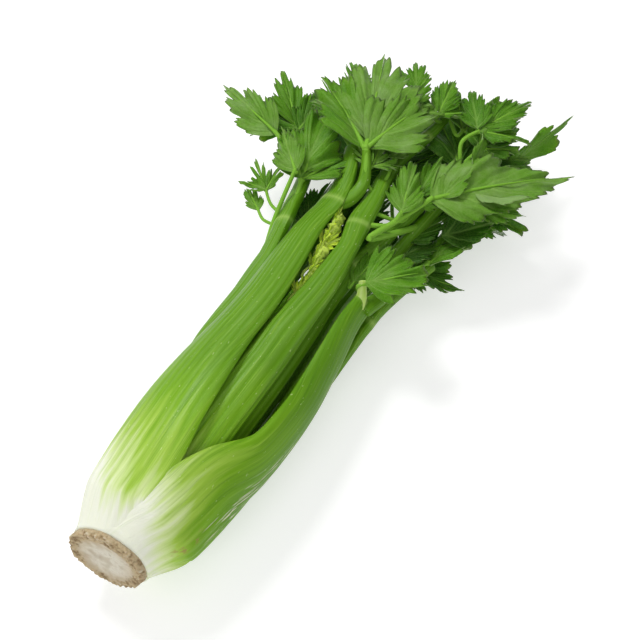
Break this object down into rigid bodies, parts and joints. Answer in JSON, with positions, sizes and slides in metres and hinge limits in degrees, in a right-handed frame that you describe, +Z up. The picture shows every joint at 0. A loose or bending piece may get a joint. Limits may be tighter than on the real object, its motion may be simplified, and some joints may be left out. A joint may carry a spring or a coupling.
{
  "type": "head of celery",
  "caption": "Whole head of celery lying on its side: a cut pale butt, nested ribbed green stalks and a spray of lobed leaves at the far end.",
  "frame": {"origin": "middle of the bounding box's underside, on the surface that the head lies on", "axes": "+Y along the head from the cut butt to the leaves, +Z up"},
  "size_m": [0.21, 0.385, 0.0834],
  "materials": {
    "butt": "dry, rough cut face with a corky rim",
    "stalk": "moist, ribbed skin, white at the base and green above",
    "heart": "tender yellow-green inner stalks and leaves",
    "leaf": "soft veined leaf, satin above and pale matt below"
  },
  "bodies": {
    "root": {"butt": "butt", "stalk_front_right": "stalk", "stalk_front_left": "stalk", "stalk_right_edge": "stalk", "stalk_under_left": "stalk", "stalk_centre": "stalk", "stalk_back_left": "stalk", "stalk_under": "stalk", "stalk_inner_right": "stalk", "stalk_inner_top": "stalk", "stalk_inner_left": "stalk", "stalk_inner_under": "stalk", "heart_stalk_top": "heart", "heart_stalk_under": "heart", "leaf_far_left": "leaf", "leaf_left_back": "leaf", "leaf_left_low": "leaf", "leaf_left_near": "leaf", "leaflet_left_a": "leaf", "leaflet_left_b": "leaf", "leaf_palm": "leaf", "leaf_top_centre": "leaf", "leaf_top_left": "leaf", "leaf_back_curl": "leaf", "leaf_back_dark": "leaf", "leaf_back_mid": "leaf", "leaf_back_yellow": "leaf", "leaf_tip_centre": "leaf", "leaf_tip_right": "leaf", "leaf_right_top": "leaf", "leaf_right_back": "leaf", "leaf_right_mid": "leaf", "leaf_right_side": "leaf", "leaf_big_right": "leaf", "leaf_edge_right": "leaf", "leaf_right_under": "leaf", "leaf_right_fold": "leaf", "leaf_right_bright": "leaf", "leaf_centre_top": "leaf", "leaf_centre_right": "leaf", "leaf_centre_mid": "leaf", "leaf_centre_small": "leaf", "leaf_right_small": "leaf", "leaf_shade_right": "leaf", "leaf_shade_centre": "leaf", "leaf_shade_back": "leaf", "leaf_shade_left": "leaf", "leaf_under_left": "leaf", "leaf_under_back": "leaf", "leaf_under_right": "leaf", "heart_leaf_a": "heart", "heart_leaf_b": "heart", "heart_leaf_c": "heart"}
  },
  "joints": []
}
